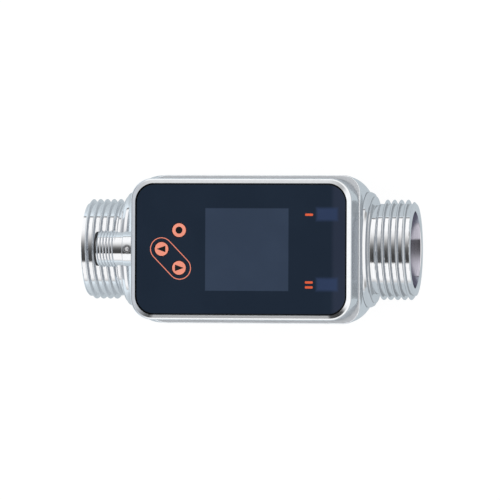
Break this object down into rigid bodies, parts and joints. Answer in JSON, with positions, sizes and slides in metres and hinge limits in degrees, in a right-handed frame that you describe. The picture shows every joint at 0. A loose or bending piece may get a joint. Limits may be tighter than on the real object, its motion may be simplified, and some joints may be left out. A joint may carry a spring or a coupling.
{
  "type": "electromagnetic flow meter",
  "caption": "Inline electromagnetic flow meter with outside-threaded pipe ends, a polished barrel housing and a display head with round keys and a threaded plug connector.",
  "frame": {"origin": "on the axis of the flow bore, half way along the pipe", "axes": "+X along the flow bore from inlet to outlet, +Z out of the display, +Y to the left of the flow direction"},
  "size_m": [0.11, 0.049, 0.0655],
  "materials": {
    "polished_steel": "polished stainless steel",
    "window_pane": "smooth dark pane, printed from behind",
    "key_orange": "satin moulded plastic",
    "seal_rubber": "matt black elastomer",
    "tube_plastic": "machined beige polymer",
    "plain_steel": "turned stainless steel",
    "soft_iron": "plain magnet iron",
    "copper_wire": "enamelled copper wire",
    "bobbin_plastic": "moulded plastic",
    "board_green": "solder mask",
    "display_panel": "display glass",
    "component_black": "moulded black plastic",
    "lamp": "moulded lamp",
    "guide_clear": "tinted clear plastic",
    "contact_gold": "gold-plated contact"
  },
  "bodies": {
    "root": {"board_components": "component_black", "board_header": "component_black", "board_screws": "plain_steel", "connector_grub_screw": "plain_steel", "connector_insert": "component_black", "connector_pins": "contact_gold", "connector_seal": "seal_rubber", "connector_shell": "polished_steel", "display_board": "board_green", "display_carrier": "bobbin_plastic", "display_module": "display_panel", "flux_yoke": "soft_iron", "front_window": "window_pane", "head_cover": "polished_steel", "head_gasket": "seal_rubber", "inlet_adapter": "polished_steel", "inlet_tube_seal": "seal_rubber", "key_switches": "component_black", "left_electrode": "plain_steel", "left_electrode_nut": "plain_steel", "left_electrode_seal": "seal_rubber", "lower_bobbin": "bobbin_plastic", "lower_coil": "copper_wire", "lower_housing": "polished_steel", "lower_light_guide": "guide_clear", "lower_pole_core": "soft_iron", "main_board": "board_green", "measuring_tube": "tube_plastic", "outlet_adapter": "polished_steel", "outlet_tube_seal": "seal_rubber", "right_electrode": "plain_steel", "right_electrode_nut": "plain_steel", "right_electrode_seal": "seal_rubber", "status_leds": "lamp", "upper_bobbin": "bobbin_plastic", "upper_coil": "copper_wire", "upper_light_guide": "guide_clear", "upper_pole_core": "soft_iron", "window_seal": "seal_rubber"},
    "enter_key": {"enter_key": "key_orange"},
    "up_key": {"up_key": "key_orange"},
    "down_key": {"down_key": "key_orange"}
  },
  "joints": [
    {"name": "enter_key_press", "type": "slide", "parent": "root", "child": "enter_key", "axis": [0, 0, -1], "range_m": [0, 0.0004], "stiffness_N_per_m": 1500, "springref_m": -0.0003},
    {"name": "up_key_press", "type": "slide", "parent": "root", "child": "up_key", "axis": [0, 0, -1], "range_m": [0, 0.0004], "stiffness_N_per_m": 1500, "springref_m": -0.0003},
    {"name": "down_key_press", "type": "slide", "parent": "root", "child": "down_key", "axis": [0, 0, -1], "range_m": [0, 0.0004], "stiffness_N_per_m": 1500, "springref_m": -0.0003}
  ]
}
